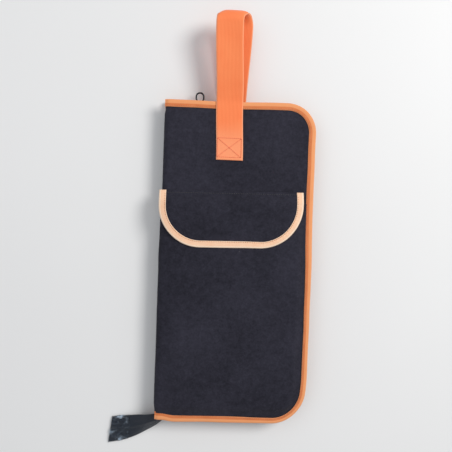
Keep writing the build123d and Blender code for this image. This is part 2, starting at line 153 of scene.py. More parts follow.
class Finish:
    """A material under construction round one Principled shader."""

    def __init__(self, name, **constants):
        self.material = bpy.data.materials.new(name)
        self.material.use_nodes = True
        self.tree = self.material.node_tree
        self.shader = self.tree.nodes["Principled BSDF"]
        for socket, value in constants.items():
            self.shader.inputs[socket.replace("_", " ")].default_value = value

    def node(self, kind, settings, *values, output=0, **named):
        """Add a node: settings first, then the values or links of its sockets; gives one output."""
        made = self.tree.nodes.new(kind)
        for setting, value in settings.items():
            setattr(made, setting, value)
        sockets = [*enumerate(values), *((key.replace("_", " "), value) for key, value in named.items())]
        for socket, value in sockets:
            if isinstance(value, Value):
                self.tree.links.new(value.socket, made.inputs[socket])
            elif value is not None:
                made.inputs[socket].default_value = value
        return Value(self, made.outputs[output])

    def axes(self, source="UV"):
        """The three coordinates of the piece's own UV map or of object space."""
        place = self.node("ShaderNodeTexCoord", {}, output=source)
        return place, [self.node("ShaderNodeSeparateXYZ", {}, place, output=axis) for axis in "XYZ"]

    def grain(self, place, scale, detail=2.0, roughness=0.5):
        """Fine-to-coarse noise, about 0 to 1."""
        return self.node("ShaderNodeTexNoise", {}, place, None, scale, detail, roughness)

    def mix(self, share, first, second):
        """Colour between two colours."""
        ends = [(*end, 1.0) if isinstance(end, tuple) else end for end in (first, second)]
        settings = {"data_type": "RGBA", "clamp_factor": True}
        return self.node("ShaderNodeMix", settings, share, None, None, None, None, None, *ends, output=2)

    def wear(self, **links):
        """Link values to the shader's own sockets."""
        for socket, value in links.items():
            self.tree.links.new(value.socket, self.shader.inputs[socket.replace("_", " ")])

    def relief(self, height, strength, distance):
        """Bump the surface by a height value."""
        self.wear(Normal=self.node("ShaderNodeBump", {}, Strength=strength, Distance=distance,
                                   Height=height))


def cross_weave(u, v, pitch, wobble):
    """Over-and-under relief of a plain weave with one thread every pitch metres."""
    turn = 2 * math.pi / pitch
    warp = ((u + wobble) * turn).sine()
    weft = ((v + wobble) * turn).sine()
    return warp * weft


def pack_cloth(name, dark, light, pitch, rough):
    """Plain-woven pack cloth: fine weave, slubs, random mottling, broad patches of painted sheen and a
    few specks of lint.
    """
    finish = Finish(name, Sheen_Weight=0.06, Sheen_Roughness=0.5, Specular_IOR_Level=0.14)
    place, (u, v, _) = finish.axes()
    slub = finish.grain(place, 340.0, 3.0)
    nap = finish.grain(place, 120.0, 4.0, 0.7)
    cloud = finish.grain(place, 13.0, 4.0, 0.6)
    painted_sheen_patches = finish.grain(place, 7.0, 2.0)
    weave = cross_weave(u, v, pitch, slub * 0.0002)
    # The broad lighter and darker patches are painted sheen; cloud, nap, slub and weave are the cloth's
    # own mottling and weave.
    shade = (painted_sheen_patches.band(0.35, 0.65) - 0.5) * 0.24 + (cloud.band(0.3, 0.7) - 0.5) * 0.30
    shade = shade + (nap - 0.5) * 1.4 + (slub - 0.5) * 0.8 + weave * 0.12 + 0.5
    lint = finish.node("ShaderNodeTexVoronoi", {"feature": "F1"}, place, None, 70.0)
    speck = (1 - lint.band(0.03, 0.05)) * cloud.band(0.56, 0.6)
    cloth = finish.mix(shade, dark, light)
    finish.wear(Base_Color=finish.mix(speck * 0.3, cloth, (0.25, 0.24, 0.24)),
                Roughness=rough + (cloud - 0.5) * 0.12 - weave * 0.04)
    finish.relief(weave * 0.7 + slub * 0.5 + nap, 0.5, 0.00025)
    return finish.material


def grosgrain(name, deep, bright, edge, width, fold=0.0):
    """Ribbed tape with paler woven edges; folded tape has a painted highlight where it turns over the
    edge it binds and a painted shade line along the fold.
    """
    finish = Finish(name, Sheen_Weight=0.3, Sheen_Roughness=0.4, Specular_IOR_Level=0.3)
    place, (u, v, _) = finish.axes()
    rib = (u * (2 * math.pi / 0.0011)).sine()
    cloud = finish.grain(place, 60.0, 4.0, 0.6)
    patchy = finish.grain(place, 14.0, 3.0, 0.6)
    fibre = finish.grain(place, 900.0, 2.0)
    across = ((v - width / 2) * (2 / width)).size()
    selvage = across.band(0.9, 0.97)
    # Painted highlight: from the middle of folded tape out to fold, where it turns over the bound edge,
    # it is mixed towards the pale edge colour; unfolded tape keeps only its paler woven edges.
    turned = selvage
    if fold:
        turned = 1 - (across + (cloud - 0.5) * 0.08).band(fold - 0.06, fold + 0.04)
    # Painted shade: a darker line along the fold, which on unfolded tape runs down its middle.
    crease = (1 - (across - fold).size().band(0.0, 0.045)) * 0.22
    shade = cloud.band(0.25, 0.8) * 0.6 + rib * 0.08 + fibre * 0.2 + (patchy - 0.5) * 0.5
    cloth = finish.mix(shade, deep, bright)
    cloth = finish.mix(selvage * 0.5 + turned * 0.7, cloth, edge)
    finish.wear(Base_Color=finish.mix(crease, cloth, tuple(part * 0.62 for part in deep)),
                Roughness=0.74 - rib * 0.08 + fibre * 0.1)
    finish.relief(rib * 0.5 + fibre * 0.5 - crease, 0.55, 0.0003)
    return finish.material


def strap_webbing(name, deep, bright, edge, width):
    """Woven webbing: ribs along its length, a fine chevron over them and tighter edges."""
    finish = Finish(name, Sheen_Weight=0.3, Sheen_Roughness=0.35, Specular_IOR_Level=0.4)
    place, (u, v, _) = finish.axes()
    rib = (v * (2 * math.pi / 0.0019)).sine()
    chevron = ((u * (2 * math.pi / 0.0014)) + rib * 1.3).sine()
    cloud = finish.grain(place, 45.0, 4.0, 0.6)
    patchy = finish.grain(place, 11.0, 3.0, 0.6)
    fibre = finish.grain(place, 1100.0, 2.0)
    selvage = ((v - width / 2) * (2 / width)).size().band(0.91, 0.97)
    shade = 0.15 + rib * 0.09 + chevron * 0.07 + cloud * 0.35 + patchy.band(0.3, 0.7) * 0.35
    cloth = finish.mix((1 - u.band(0.018, 0.060)) * 0.45, finish.mix(shade, deep, bright), edge)
    finish.wear(Base_Color=finish.mix(selvage * 0.7, cloth, edge),
                Roughness=0.62 + fibre * 0.16 - rib * 0.05)
    finish.relief(rib * 0.5 + chevron * 0.3 + fibre * 0.3, 0.5, 0.0003)
    return finish.material


def zip_tape_cloth(name, dark, light):
    """Zip tape: fine twill with two raised guide lines."""
    finish = Finish(name, Sheen_Weight=0.2, Sheen_Roughness=0.5, Specular_IOR_Level=0.3)
    place, (u, v, _) = finish.axes()
    twill = ((u + v) * (2 * math.pi / 0.0009)).sine()
    fibre = finish.grain(place, 700.0, 2.0)
    cloud = finish.grain(place, 40.0, 3.0)
    finish.wear(Base_Color=finish.mix(cloud * 0.6 + twill * 0.15 + fibre * 0.2, dark, light),
                Roughness=0.72 + fibre * 0.15)
    finish.relief(twill * 0.6 + fibre * 0.5, 0.6, 0.00025)
    return finish.material


def hard_finish(name, colour, worn, rough, metallic):
    """Painted metal or nylon: faint mottling and rubbed spots."""
    finish = Finish(name, Metallic=metallic, Specular_IOR_Level=0.5)
    place, _ = finish.axes("Object")
    mottle = finish.grain(place, 900.0, 3.0)
    rub = finish.grain(place, 260.0, 5.0, 0.65).band(0.58, 0.72)
    finish.wear(Base_Color=finish.mix(rub * 0.5 + mottle * 0.15, colour, worn),
                Roughness=rough + mottle * 0.18)
    finish.relief(mottle, 0.25, 0.0001)
    return finish.material


def thread_finish(name, dark, bright):
    """Twisted sewing thread."""
    finish = Finish(name, Sheen_Weight=0.3, Specular_IOR_Level=0.4)
    place, (x, y, z) = finish.axes("Object")
    twist = ((x + y + z) * (2 * math.pi / 0.0006)).sine()
    fibre = finish.grain(place, 1500.0, 2.0)
    finish.wear(Base_Color=finish.mix(0.5 + twist * 0.3 + (fibre - 0.5) * 0.4, dark, bright),
                Roughness=0.55 + fibre * 0.2)
    finish.relief(twist, 0.5, 0.0001)
    return finish.material


def loop_pile(name, dark, light, scale):
    """Hook or loop tape: a dense pile of small loops."""
    finish = Finish(name, Sheen_Weight=0.3, Specular_IOR_Level=0.3)
    place, _ = finish.axes("Object")
    pile = finish.node("ShaderNodeTexVoronoi", {"feature": "F1"}, place, None, scale)
    finish.wear(Base_Color=finish.mix(pile, dark, light), Roughness=0.7 + pile * 0.2)
    finish.relief(1 - pile, 0.8, 0.0006)
    return finish.material


def clear_wrap(name):
    """Thin clear plastic, softly creased, with painted highlights along its crease lines and in a few
    pale patches.
    """
    finish = Finish(name, Specular_IOR_Level=0.7, Coat_Weight=0.4, Coat_Roughness=0.2)
    place, _ = finish.axes("Object")
    crease = finish.grain(place, 70.0, 2.0, 0.5)
    fold = 1 - (crease - 0.5).size().band(0.0, 0.02)
    painted_highlight_patches = finish.grain(place, 48.0, 3.0, 0.55).band(0.52, 0.70)
    # Painted highlights: the film is paler and less clear along its crease lines and in the patches.
    finish.wear(Base_Color=finish.mix(fold * 0.35 + painted_highlight_patches * 0.75, (0.025, 0.035, 0.05),
                                      (0.60, 0.74, 0.90)),
                Roughness=0.16 + painted_highlight_patches * 0.2, Alpha=0.12 + fold * 0.10 + painted_highlight_patches * 0.46)
    finish.relief(crease, 0.35, 0.0012)
    return finish.material


def floor_finish():
    """Pale, slightly satin floor."""
    finish = Finish("pale_floor", Specular_IOR_Level=0.3)
    place, _ = finish.axes("Object")
    cloud = finish.grain(place, 2.5, 3.0)
    finish.wear(Base_Color=finish.mix(cloud, (0.78, 0.775, 0.77), (0.82, 0.815, 0.81)),
                Roughness=0.5 + cloud * 0.1)
    return finish.material


cloth_black = pack_cloth("black_pack_cloth", (0.0115, 0.0110, 0.0178), (0.0340, 0.0325, 0.0480),
                         pitch=0.0011, rough=0.82)
cloth_lining = pack_cloth("grey_lining", (0.026, 0.026, 0.030), (0.052, 0.052, 0.058),
                          pitch=0.0006, rough=0.7)
# Each tape's third colour serves its paler woven edges and the painted highlight where folded tape turns
# over; fold sets how far that painted highlight reaches.
tape_orange = grosgrain("orange_edge_tape", (0.62, 0.165, 0.050), (0.80, 0.255, 0.090),
                        (0.92, 0.40, 0.17), BINDING_CLOTH, fold=0.60)
flap_tape_orange = grosgrain("orange_flap_tape", (0.92, 0.54, 0.34), (0.98, 0.70, 0.49),
                             (0.98, 0.78, 0.60), FLAP_BINDING_CLOTH, fold=0.30)
mouth_tape_orange = grosgrain("orange_mouth_tape", (0.74, 0.23, 0.085), (0.88, 0.33, 0.14),
                              (0.93, 0.48, 0.26), MOUTH_TAPE)
webbing_orange = strap_webbing("orange_webbing", (0.92, 0.190, 0.055), (0.98, 0.275, 0.092),
                               (0.98, 0.43, 0.23), STRAP_WIDTH)
thread_red = thread_finish("red_thread", (0.80, 0.14, 0.06), (0.92, 0.24, 0.11))
thread_amber = thread_finish("amber_thread", (0.52, 0.19, 0.07), (0.70, 0.31, 0.14))
thread_black = thread_finish("black_thread", (0.012, 0.012, 0.014), (0.035, 0.035, 0.04))
zip_cloth = zip_tape_cloth("black_zip_tape", (0.007, 0.010, 0.017), (0.021, 0.029, 0.047))
coil_nylon = hard_finish("black_coil", (0.014, 0.014, 0.016), (0.05, 0.05, 0.055),
                         rough=0.34, metallic=0.0)
metal_black = hard_finish("black_painted_metal", (0.012, 0.012, 0.014), (0.09, 0.09, 0.10),
                          rough=0.28, metallic=0.6)
hook_black = loop_pile("hook_tape", (0.008, 0.008, 0.009), (0.035, 0.035, 0.038), 1500.0)
loop_black = loop_pile("loop_tape", (0.010, 0.010, 0.011), (0.045, 0.045, 0.048), 1100.0)
film_clear = clear_wrap("clear_wrap")


# ---------------------------------------------------------------- tools

def smooth(share):
    """0 to 1 with a soft start and end."""
    share = min(max(share, 0.0), 1.0)
    return share * share * (3 - 2 * share)


def ripple(x, y, size, seed=0.0):
    """Smooth unevenness between about -1 and 1 with features of a given size."""
    return noise.noise(Vector((x / size, y / size, seed)))


class Route:
    """Plane path of straight runs and arcs, each given as (length, turn in radians)."""

    def __init__(self, start, heading, steps):
        self.parts = []
        place = complex(*start)
        for length, turn in steps:
            self.parts.append((place, heading, length, turn))
            place = self.travel(place, heading, length, turn, length)
            heading += turn
        self.length = sum(length for length, _ in steps)

    @staticmethod
    def travel(place, heading, length, turn, distance):
        start = cmath.exp(1j * heading)
        if abs(turn) < 1e-9:
            return place + start * distance
        bend = 1j * turn / length
        return place + start * (cmath.exp(bend * distance) - 1) / bend

    def at(self, distance):
        """(place, heading) at a distance along the path."""
        for place, heading, length, turn in self.parts:
            if distance <= length + 1e-9:
                break
            distance -= length
        else:
            distance = length
        spot = self.travel(place, heading, length, turn, distance)
        return (spot.real, spot.imag), heading + turn * distance / length


def edge_route(inset, top_start=LEFT, bottom_end=LEFT):
    """Path along the three bound edges: along the top, down the zip side and back along the bottom."""
    return Route((top_start, TOP - inset), 0.0, [
        (RIGHT - TOP_RADIUS - top_start, 0.0),
        ((TOP_RADIUS - inset) * math.pi / 2, -math.pi / 2),
        (TOP - BOTTOM - TOP_RADIUS - BOTTOM_RADIUS, 0.0),
        ((BOTTOM_RADIUS - inset) * math.pi / 2, -math.pi / 2),
        (RIGHT - BOTTOM_RADIUS - bottom_end, 0.0)])


def round_corner(x, y, centre, radius, side):
    """Move a point of a square corner so that the corner becomes a quarter circle."""
    a = (x - centre[0]) * side[0]
    b = (y - centre[1]) * side[1]
    if a <= 0 or b <= 0:
        return x, y
    pull_a = math.sqrt(max(0.0, 1 - b * b / (2 * radius * radius)))
    pull_b = math.sqrt(max(0.0, 1 - a * a / (2 * radius * radius)))
    return centre[0] + a * pull_a * side[0], centre[1] + b * pull_b * side[1]


def round_bottom(x, y, inset):
    """Round the zip side's bottom corner of a cover drawn in by inset."""
    centre = (RIGHT - BOTTOM_RADIUS, BOTTOM + BOTTOM_RADIUS)
    return round_corner(x, y, centre, BOTTOM_RADIUS - inset, (1, -1))


def round_cover(x, y):
    """Round the zip side's two corners of a cover."""
    x, y = round_corner(x, y, (RIGHT - TOP_RADIUS, TOP - TOP_RADIUS), TOP_RADIUS, (1, 1))
    return round_bottom(x, y, 0.0)


def edge_distance(x, y):
    """Distance in from the three bound edges."""
    distance = min(RIGHT - x, TOP - y, y - BOTTOM)
    for radius, end, side in ((TOP_RADIUS, TOP, 1), (BOTTOM_RADIUS, BOTTOM, -1)):
        a = x - (RIGHT - radius)
        b = (y - (end - side * radius)) * side
        if a > 0 and b > 0:
            distance = radius - math.hypot(a, b)
    return distance


def finish_mesh(name, shape, materials, thick=0.0, offset=-1.0):
    """Turn a bmesh into a smooth piece, with its cloth's thickness applied to the mesh."""
    mesh = bpy.data.meshes.new(name)
    shape.to_mesh(mesh)
    shape.free()
    mesh.shade_smooth()
    piece = bpy.data.objects.new(name, mesh)
    bpy.context.scene.collection.objects.link(piece)
    for material in materials:
        mesh.materials.append(material)
    if thick:
        wall = piece.modifiers.new("wall", "SOLIDIFY")
        wall.thickness = thick
        wall.offset = offset
        wall.use_quality_normals = True
        wall.material_offset = len(materials) - 1
        graph = bpy.context.evaluated_depsgraph_get()
        solid = bpy.data.meshes.new_from_object(piece.evaluated_get(graph))
        solid.name = name
        piece.modifiers.clear()
        piece.data = solid
    return piece


def cloth_grid(length, width, columns, rows, place, flip=False):
    """Grid with UVs in metres; place(u, v) gives its points, u along the length and v across it."""
    shape = bmesh.new()
    bmesh.ops.create_grid(shape, x_segments=columns, y_segments=rows, size=0.5, calc_uvs=True)
    uv = shape.loops.layers.uv.verify()
    for face in shape.faces:
        for loop in face.loops:
            loop[uv].uv = ((loop.vert.co.x + 0.5) * length, (loop.vert.co.y + 0.5) * width)
    for vertex in shape.verts:
        vertex.co = place(vertex.co.x + 0.5, vertex.co.y + 0.5)
    if flip:
        bmesh.ops.reverse_faces(shape, faces=shape.faces)
    return shape


def closed_tube(*grid):
    """Grid whose first and last rows meet, as one closed tube."""
    shape = cloth_grid(*grid, flip=True)
    bmesh.ops.remove_doubles(shape, verts=shape.verts, dist=MERGE)
    return shape


def beads(segments, rings, spots):
    """Small ellipsoids, one for each placement matrix."""
    seed = bmesh.new()
    bmesh.ops.create_uvsphere(seed, u_segments=segments, v_segments=rings, radius=1.0)
    bead = bpy.data.meshes.new("bead")
    seed.to_mesh(bead)
    seed.free()
    shape = bmesh.new()
    for spot in spots:
        bead.transform(spot)
        shape.from_mesh(bead)
        bead.transform(spot.inverted())
    bpy.data.meshes.remove(bead)
    return shape


def corner_drawn_up(x, y):
    """How far the front cover's end beside the tail of the zip is drawn up by its seam."""
    return 0.0026 * smooth((-0.079 - x) / 0.020) * smooth((-0.170 - y) / 0.050)


def fold_drop(x):
    """How far the cover's outer face has curved down at the fold."""
    reach = min(max(LEFT + FOLD_RADIUS - x, 0.0), FOLD_RADIUS * 0.78)
    return FOLD_RADIUS - math.sqrt(FOLD_RADIUS * FOLD_RADIUS - reach * reach)


def settled(x, y, front=False):
    """Where a point of a true rectangle lies: the zip side bows out and its top corner stands high."""
    bow = (0.4 + 0.6 * smooth((0.12 - y) / 0.16)) * smooth((y + 0.222) / 0.06)
    lifted = 0.0024 * smooth((x + 0.02) / 0.10) * smooth((y - 0.04) / 0.18)
    if front:
        lifted += corner_drawn_up(x, y)
    return x + 0.0034 * smooth(x / 0.10) * bow, y + lifted


def tape_reach(x, y):
    """The edge tape was caught unevenly: narrower low on the zip side, wider at the tail of the zip."""
    narrow = smooth((0.10 - y) / 0.20) * smooth((x + 0.03) / 0.09)
    return 1 + 0.15 * smooth((-0.082 - x) / 0.016) * smooth(-y / 0.1) - 0.20 * narrow


def pucker(route, distance, inset):
    """Height of the small gathers of a tape, which show only where its edge bends."""
    reach = 0.004
    ahead = route.at(min(distance + reach, route.length))[1]
    behind = route.at(max(distance - reach, 0.0))[1]
    gather = 0.00011 * smooth(abs(ahead - behind) / 0.08) * smooth(inset / 0.007)
    return gather * math.sin(distance / 0.0009 + 2 * ripple(distance, 1.0, 0.02))


def sweep(route, side, profile, columns, rows, lift, settle, waver=0.0, width=0.0):
    """Strip along an edge with a profile in the (inset, height) plane; side is +1 or -1 for inward."""
    def place(u, v):
        distance = u * route.length
        (x, y), heading = route.at(distance)
        (inset, height), _ = profile.at(v * profile.length)
        inset += waver * ripple(distance, 3.0, 0.035, v * 0.5)
        inset *= tape_reach(x, y)
        x += side * inset * math.sin(heading)
        y -= side * inset * math.cos(heading)
        height += waver * 0.6 * ripple(distance, 8.0, 0.022, v * 2)
        if waver:
            height += pucker(route, distance, inset) * (1 if v > 0.5 else -1)
        height += lift(x, y)
        return Vector((*settle(x, y), height))

    return cloth_grid(route.length, width or profile.length, columns, rows, place)


def stitch_spots(route, side, inset, height, pitch=STITCH_PITCH, skip=0.004, facing=1):
    """Stitch places along an edge at an inset; height(x, y) gives the surface."""
    count = int((route.length - 2 * skip) / pitch)
    spots = []
    for index in range(count):
        (x, y), heading = route.at(skip + (index + 0.5) * pitch)
        reach = inset * tape_reach(x, y)
        x += side * reach * math.sin(heading)
        y -= side * reach * math.cos(heading)
        along = Vector((math.cos(heading), math.sin(heading), 0.0))
        spots.append((Vector((x, y, height(x, y))), along, UP * facing))
    return spots


def straight_spots(first, last, normal, pitch=STITCH_PITCH):
    """Stitch places along a straight seam."""
    run = last - first
    count = max(1, int(run.length / pitch))
    return [(first + run * ((index + 0.5) / count), run.normalized(), normal) for index in range(count)]


def stitch_shape(spots, wide=0.0008, high=0.0005):
    """Short raised stitches at (place, direction, face normal) spots."""
    placed = []
    size = Matrix.Diagonal((STITCH_LONG / 2, wide / 2, high, 1.0))
    for place, along, normal in spots:
        across = normal.cross(along).normalized()
        turn = Matrix((along, across, normal)).transposed().to_4x4()
        placed.append(Matrix.Translation(place) @ turn @ size)
    return beads(6, 4, placed)


# ---------------------------------------------------------------- covers

cover_path = Route((RIGHT, THICK), math.pi, [
    (RIGHT - LEFT - FOLD_RADIUS, 0.0),
    (FOLD_RADIUS * math.pi / 2, math.pi / 2),
    (THICK - FOLD_RADIUS - MIDDLE, 0.0)])
fold_start = RIGHT - LEFT - FOLD_RADIUS


def tab_dent(x, y):
    """1 where the back strap end lies in the cover, 0 away from it."""
    soft = 0.003
    across = smooth((x - STRAP_LEFT + soft) / soft) * smooth((STRAP_RIGHT + soft - x) / soft)
    return across * smooth((y - TAB_END + soft) / soft)


def cover_place(front):
    """Outer face of a cover, from the zip side across it and half-way round the fold."""
    under_tape = 0.0019
    ends_in, ends_in_at_fold = 0.0075, 0.038

    def place(u, v):
        distance = u * cover_path.length
        (x, z), heading = cover_path.at(distance)
        y = BOTTOM + v * (TOP - BOTTOM)
        fold = smooth((distance - fold_start) / (cover_path.length - fold_start))
        x, y = round_cover(x, y)
        edge = edge_distance(x, y)
        x -= under_tape * (1 - smooth((RIGHT - x) / 0.012))
        y *= 1 - ends_in - ends_in_at_fold * fold
        swell = smooth((edge - 0.0085) / 0.005)
        rise = -0.0009 + 0.0010 * swell
        rise += swell * 0.0005 * ripple(x, y, 0.075, 1.0 if front else 6.0) * (1 - fold)
        rise += swell * 0.00012 * ripple(x, y, 0.012, 3.0)
        by_tape = 1 - smooth((edge - 0.012) / 0.010)
        rise -= 0.0004 * swell * by_tape * (0.5 + 0.5 * ripple(x, y, 0.018, 9.0))
        if not front:
            rise -= 0.0016 * tab_dent(x, y)
            rise = min(rise, 0.0)
        x += rise * math.sin(heading)
        z -= rise * math.cos(heading)
        x, y = settled(x, y, front)
        return Vector((x, y, z if front else THICK - z))

    return place


def bend_at_fold(piece, front):
    """Bake the placement of a piece of cloth or tape that reaches the fold into its mesh."""
    if front:
        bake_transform(piece)
    else:
        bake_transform(piece)


cover_size = (cover_path.length, TOP - BOTTOM)
shape = cloth_grid(*cover_size, 112, 190, cover_place(True), flip=True)
front_cover = finish_mesh("front_cover", shape, [cloth_black, cloth_lining], thick=CORE)
bend_at_fold(front_cover, True)
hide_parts("front_shell", "front_foam", "front_lining")

shape = cloth_grid(*cover_size, 112, 190, cover_place(False))
back_cover = finish_mesh("back_cover", shape, [cloth_black, cloth_lining], thick=CORE)
bend_at_fold(back_cover, False)
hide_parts("back_shell", "back_foam", "back_lining",
            "spine_shell", "spine_foam", "spine_lining")


# ---------------------------------------------------------------- bound edges

def binding_profile(face, deep, radius):
    """Tape folded over an edge: out along the lower face, round the edge and back over the upper."""
    return Route((face, 0.0), math.pi, [
        (face - radius, 0.0),
        (radius * math.pi / 2, -math.pi / 2),
        (deep - 2 * radius, 0.0),
        (radius * math.pi / 2, -math.pi / 2),
        (face - radius, 0.0)])


edge_path = edge_route(0.0)


def make_cover_binding(name, low, node, face_height, front):
    """Edge tape of one cover and its line of stitches."""
    facing = 1 if front else -1
    tape_gap = 0.0005

    def settle(x, y):
        return settled(x, y, front)

    def lift(x, y):
        pressed = 0.0 if front else 0.0018 * tab_dent(x, y)
        return pressed - facing * fold_drop(x) * 0.8

    profile = binding_profile(BINDING, COVER - 2 * tape_gap, 0.0022)
    shape = sweep(edge_path, 1, profile, 900, 20, lambda x, y: low + tape_gap + lift(x, y), settle,
                  waver=0.0006, width=BINDING_CLOTH)
    tape = finish_mesh(name, shape, [tape_orange], thick=0.0009, offset=0.0)
    bend_at_fold(tape, front)
    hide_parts(node)
    spots = stitch_spots(edge_path, 1, BINDING - 0.0016, lambda x, y: face_height + lift(x, y),
                         facing=facing)
    for place, _, _ in spots:
        place.x, place.y = settle(place.x, place.y)
    seam = finish_mesh(name + "_stitches", stitch_shape(spots), [thread_amber])
    bend_at_fold(seam, front)


make_cover_binding("front_edge_tape", THICK - COVER, "front_binding", THICK + 0.0001, True)
make_cover_binding("back_edge_tape", 0.0, "back_binding", 0.0003, False)


# ---------------------------------------------------------------- zip

zip_path = edge_route(CHAIN_INSET, LEFT + 0.0061, LEFT + 0.0155)
coil_path = edge_route(CHAIN_INSET, LEFT + 0.0106, LEFT + 0.0155)


def zip_settled(x, y):
    """The zip bows out with the covers but stays straight along the top, where the slider runs."""
    return settled(x, y)[0], y


def make_zip_side(side, body, low, high, coil_middle):
    """One tape of the zip and its row of coil turns."""
    upright = Route((0.0, low), math.pi / 2, [(high - low, 0.0)])
    shape = sweep(zip_path, 1, upright, 420, 6, lambda x, y: 0.0, zip_settled)
    tape = finish_mesh(side + "_zip_tape", shape, [zip_cloth], thick=0.0006, offset=0.0)
    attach(tape, body)
    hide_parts(side + "_zipper_tape")
    start = 0.25 if side == "back" else 0.75
    size = Matrix.Diagonal((*COIL_TURN, 1.0))
    turns = []
    for index in range(int(coil_path.length / COIL_PITCH)):
        (x, y), heading = coil_path.at((index + start) * COIL_PITCH)
        turn = Matrix.Rotation(heading, 4, "Z")
        turns.append(Matrix.Translation((*zip_settled(x, y), coil_middle)) @ turn @ size)
    coil = finish_mesh(side + "_coil", beads(6, 5, turns), [coil_nylon])
    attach(coil, body)
    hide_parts(side + "_zipper_coil")


make_zip_side("back", "back", 0.0042, 0.0126, 0.0130)
make_zip_side("front", "front", THICK - 0.0126, THICK - 0.0042, THICK - 0.0130)
for node in ("zipper_slider", "pull_link", "back_zipper_stop", "front_zipper_stop"):
    metal_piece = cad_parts[node]
    metal_piece.data.materials.clear()
    metal_piece.data.materials.append(metal_black)

pull_width = (pull_high[0] - pull_low[0]) / 2 - PULL_WIRE
pull_height = pull_high[1] - pull_low[1] - 2 * PULL_WIRE
pull_side = pull_height - 2 * pull_width
pull_path = Route((pull_low[0] + PULL_WIRE, pull_low[1] + PULL_WIRE + pull_width), math.pi / 2, [
    (pull_side, 0.0),
    (pull_width * math.pi, -math.pi),
    (pull_side, 0.0),
    (pull_width * math.pi, -math.pi)])


def pull_place(u, v):
    """Round wire along the loop of the pull."""
    (x, y), heading = pull_path.at(u * pull_path.length)
    turn = v * 2 * math.pi
    reach = PULL_WIRE * math.cos(turn)
    x -= reach * math.sin(heading)
    y += reach * math.cos(heading)
    return Vector((x, y, MIDDLE + PULL_WIRE * math.sin(turn)))


pull = finish_mesh("wire_pull", closed_tube(pull_path.length, 0.006, 72, 12, pull_place), [metal_black])
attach(pull, "loop")
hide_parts("pull_loop")


# ---------------------------------------------------------------- outer pocket

def pocket_rise(distance, y):
    """Height of the pocket front over the cover."""
    border = smooth((distance - POCKET_INSET) / 0.014) * smooth((y - BOTTOM - POCKET_INSET) / 0.016)
    over_fold = 1 - 0.55 * smooth((distance - fold_start + 0.020) / 0.022)
    close = 1 - smooth((distance - fold_start - FOLD_RADIUS * 0.9) / (FOLD_RADIUS * 1.2))
    sag = 0.0011 * ripple(distance, y, 0.065, 2.0) + 0.0004 * ripple(distance, y, 0.022, 4.0)
    return (POCKET_RISE * over_fold + sag * border) * border * close


def pocket_place(u, v):
    """Pocket front from the zip side's tape across the cover and round the fold."""
    distance = POCKET_INSET + u * (cover_path.length - POCKET_INSET - 0.002)
    (x, z), heading = cover_path.at(distance)
    y = BOTTOM + POCKET_INSET + v * (MOUTH - BOTTOM - POCKET_INSET)
    rise = 0.0004 + pocket_rise(distance, y)
    x, y = round_bottom(x, y, POCKET_INSET)
    x += rise * math.sin(heading)
    z -= rise * math.cos(heading)
    x, y = settled(x, y, True)
    return Vector((x, y, z))


pocket_size = (cover_path.length - POCKET_INSET, MOUTH - BOTTOM - POCKET_INSET)
shape = cloth_grid(*pocket_size, 120, 170, pocket_place, flip=True)
pocket_front = finish_mesh("outer_pocket_front", shape, [cloth_black], thick=0.0008)
bend_at_fold(pocket_front, True)
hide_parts("outer_pocket_panel", "outer_pocket_gusset")


def hem_place(u, v):
    """Hem folded over along the pocket's mouth."""
    distance = POCKET_INSET + 0.006 + u * (fold_start - POCKET_INSET - 0.008)
    (x, z), heading = cover_path.at(distance)
    y = MOUTH - 0.0115 + v * 0.0118
    return Vector((x, y, z + 0.0004 + pocket_rise(distance, y) + 0.0005))


shape = cloth_grid(0.19, 0.012, 100, 6, hem_place, flip=True)
hem = finish_mesh("pocket_mouth_hem_cloth", shape, [cloth_black], thick=0.0008, offset=1.0)
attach(hem, "front")
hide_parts("pocket_mouth_hem")
hem_line = MOUTH - 0.0098
spots = straight_spots(Vector((RIGHT - 0.020, hem_line, 0.0)), Vector((LEFT + 0.012, hem_line, 0.0)), UP)
for place, _, _ in spots:
    place.z = THICK + 0.0018 + pocket_rise(RIGHT - place.x, place.y)
hem_seam = finish_mesh("pocket_mouth_stitches", stitch_shape(spots), [thread_black])
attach(hem_seam, "front")


# ---------------------------------------------------------------- flap

def flap_height(x, y):
    """Middle of the flap's cloth: sewn down at its root, then over the pocket mouth."""
    down = FLAP_ROOT - y
    height = FLAP_SEWN + (FLAP_TOP - FLAP_SEWN) * smooth((down + 0.001) / 0.017)
    height -= 0.0009 * smooth((down - 0.050) / 0.030)
    height -= 0.0020 * smooth((x - FLAP_RIGHT + 0.030) / 0.032) * smooth(down / 0.02)
    height -= 0.0024 * smooth((FLAP_LEFT + 0.024 - x) / 0.024) * smooth(down / 0.02)
    height += 0.0005 * ripple(x, y, 0.045, 5.0) * smooth(down / 0.03)
    height += 0.0006 * math.exp(-((down - 0.0050) / 0.0018) ** 2)
    return height


def flap_skewed(x, y):
    """The flap is sewn on slightly out of square."""
    return x, y + 0.0034 * (x - FLAP_LEFT) / (FLAP_RIGHT - FLAP_LEFT)


def flap_place(u, v):
    """Flap's cloth, square at its root and round at its two free corners."""
    x = FLAP_LEFT + 0.0004 + u * (FLAP_RIGHT - FLAP_LEFT - 0.0008)
    y = FLAP_END + 0.0004 + v * (FLAP_ROOT - FLAP_END - 0.0004)
    x, y = round_corner(x, y, (FLAP_LEFT + FLAP_RADIUS, FLAP_END + FLAP_RADIUS), FLAP_RADIUS, (-1, -1))
    x, y = round_corner(x, y, (FLAP_RIGHT - FLAP_RADIUS, FLAP_END + FLAP_RADIUS), FLAP_RADIUS, (1, -1))
    return Vector((*flap_skewed(x, y), flap_height(x, y)))


def bend_flap(piece):
    """Bake the placement of a flap piece, sewn to the front cover at its root, into its mesh."""
    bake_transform(piece)


flap_size = (FLAP_RIGHT - FLAP_LEFT, FLAP_ROOT - FLAP_END)
shape = cloth_grid(*flap_size, 140, 96, flap_place)
flap = finish_mesh("flap", shape, [cloth_black], thick=0.0010, offset=0.0)
bend_flap(flap)
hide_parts("pocket_flap")

